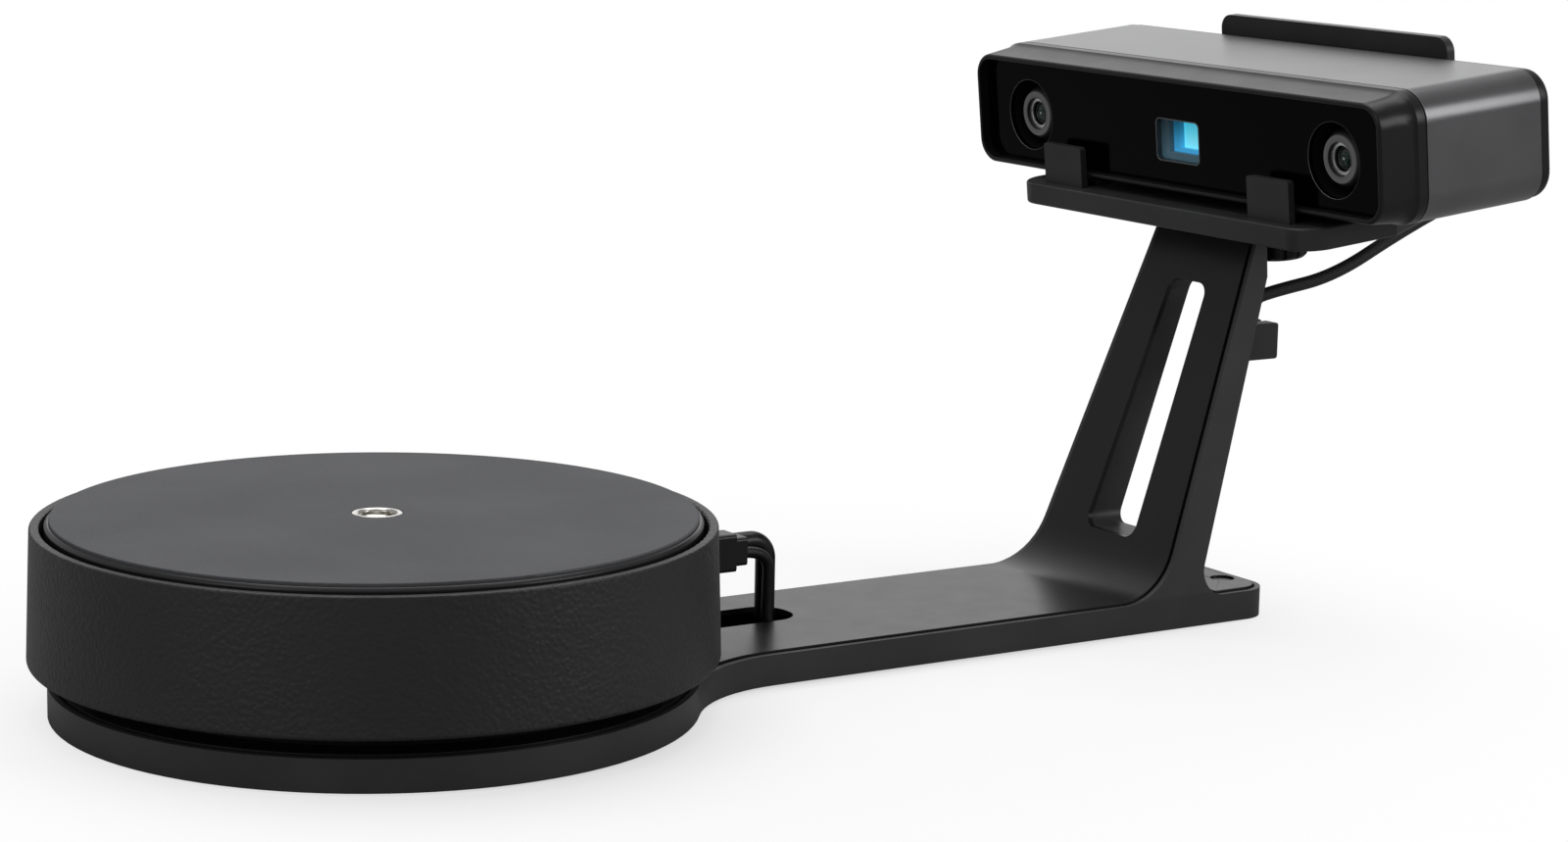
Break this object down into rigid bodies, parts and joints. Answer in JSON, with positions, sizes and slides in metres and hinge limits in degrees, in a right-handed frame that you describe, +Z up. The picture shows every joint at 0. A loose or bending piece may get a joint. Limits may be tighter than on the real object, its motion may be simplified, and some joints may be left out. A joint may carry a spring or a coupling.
{
  "type": "desktop 3d scanner",
  "caption": "Desktop scanner: a turntable drum on a flat base, joined by a bridge to a leaning slotted arm that holds a scan head in a clamping cradle.",
  "frame": {"origin": "on the table under the middle of the turntable, at the rest plane of the rubber feet", "axes": "+X from the turntable to the scan head, +Y to the side away from the plugs' near face, +Z up along the platter's axis"},
  "size_m": [0.4968, 0.2152, 0.1927],
  "materials": {
    "stand_satin": "satin charcoal moulding",
    "stand_inset": "satin dark grey sheet, very fine grain",
    "clip_satin": "satin charcoal moulding",
    "black_rubber": "matt black rubber",
    "lead_black": "matt black jacket",
    "plug_black": "satin black moulding",
    "drum_grain": "black with a fine leather grain",
    "inner_black": "plain black moulding",
    "platter_satin": "dark satin coat",
    "mat_grain": "dark grey, fine texture",
    "nickel": "bright nickel",
    "steel": "turned steel",
    "gear_white": "natural acetal",
    "brass": "plain brass",
    "motor_can": "black coated steel",
    "zinc_plate": "bright zinc plate",
    "board_green": "green solder mask",
    "bezel_satin": "satin dark grey",
    "shell_metallic": "satin metallic grey",
    "cap_black": "satin black",
    "window_black": "gloss black",
    "hood_black": "dead black",
    "barrel_dark": "dark anodised",
    "lens_glass": "coated glass, greenish",
    "frame_grey": "satin grey",
    "pane_glass": "clear glass",
    "guide_blue": "blue, brighter to one side",
    "heatsink": "black anodised",
    "rail_alloy": "milled aluminium",
    "cradle_satin": "satin dark grey coat",
    "prong_satin": "satin dark grey coat"
  },
  "bodies": {
    "stand": {"stand_body": "stand_satin", "stand_skin": "stand_inset", "rear_flange_cover": "stand_inset", "flange_recess_plugs": "black_rubber", "rubber_feet": "black_rubber", "skin_screws": "steel", "junction_board": "board_green", "rear_sockets": "zinc_plate", "data_lead": "lead_black", "power_lead": "lead_black", "head_lead": "lead_black", "lead_grommet": "black_rubber", "cable_clip": "clip_satin", "clip_screw": "steel", "drum_shell": "drum_grain", "drum_floor": "inner_black", "drum_screws": "steel", "bearing_outer_ring": "steel", "bearing_balls": "steel", "stepper_motor": "motor_can", "motor_bracket": "zinc_plate", "motor_screws": "steel", "turntable_board": "board_green", "drum_sockets": "inner_black", "data_plug": "plug_black", "power_plug": "plug_black", "front_bezel": "bezel_satin", "front_window": "window_black", "head_shell": "shell_metallic", "rear_cap": "cap_black", "cap_screws": "steel", "head_gland": "black_rubber", "camera_hoods": "hood_black", "camera_barrels": "barrel_dark", "camera_rings": "nickel", "camera_glasses": "lens_glass", "camera_boards": "board_green", "projector_frame": "frame_grey", "projector_glass": "pane_glass", "projector_light_guide": "guide_blue", "projector_body": "heatsink", "optical_rail": "rail_alloy", "main_board": "board_green", "cradle_plate": "cradle_satin", "front_prongs": "prong_satin", "cradle_screws": "steel", "cradle_pads": "black_rubber", "knob_bush": "brass"},
    "platter": {"platter": "platter_satin", "platter_mat": "mat_grain", "threaded_insert": "nickel", "platter_hub": "steel", "hub_circlip": "steel", "bearing_inner_ring": "steel", "ring_gear": "gear_white"},
    "pinion": {"drive_pinion": "brass", "motor_shaft": "steel"},
    "clamp_jaw": {"clamp_jaw": "cradle_satin", "jaw_pad": "black_rubber"},
    "clamp_knob": {"clamp_knob": "plug_black"}
  },
  "joints": [
    {"name": "platter_spin", "type": "hinge", "parent": "stand", "child": "platter", "pos_m": [0, 0, 0.0577], "axis": [0, 0, 1], "continuous": true},
    {"name": "pinion_spin", "type": "hinge", "parent": "stand", "child": "pinion", "pos_m": [-0.072, 0, 0.05], "axis": [0, 0, 1], "continuous": true},
    {"name": "jaw_slide", "type": "slide", "parent": "stand", "child": "clamp_jaw", "axis": [0.9945, 0, 0.1045], "range_m": [0, 0.01]},
    {"name": "knob_turn", "type": "hinge", "parent": "stand", "child": "clamp_knob", "pos_m": [0.33716, 0, 0.13337], "axis": [-0.1045, 0, 0.9945], "range_deg": [0, 360]}
  ],
  "couplings": [
    {"joint": "pinion_spin", "follows": "platter_spin", "ratio": -5}
  ]
}
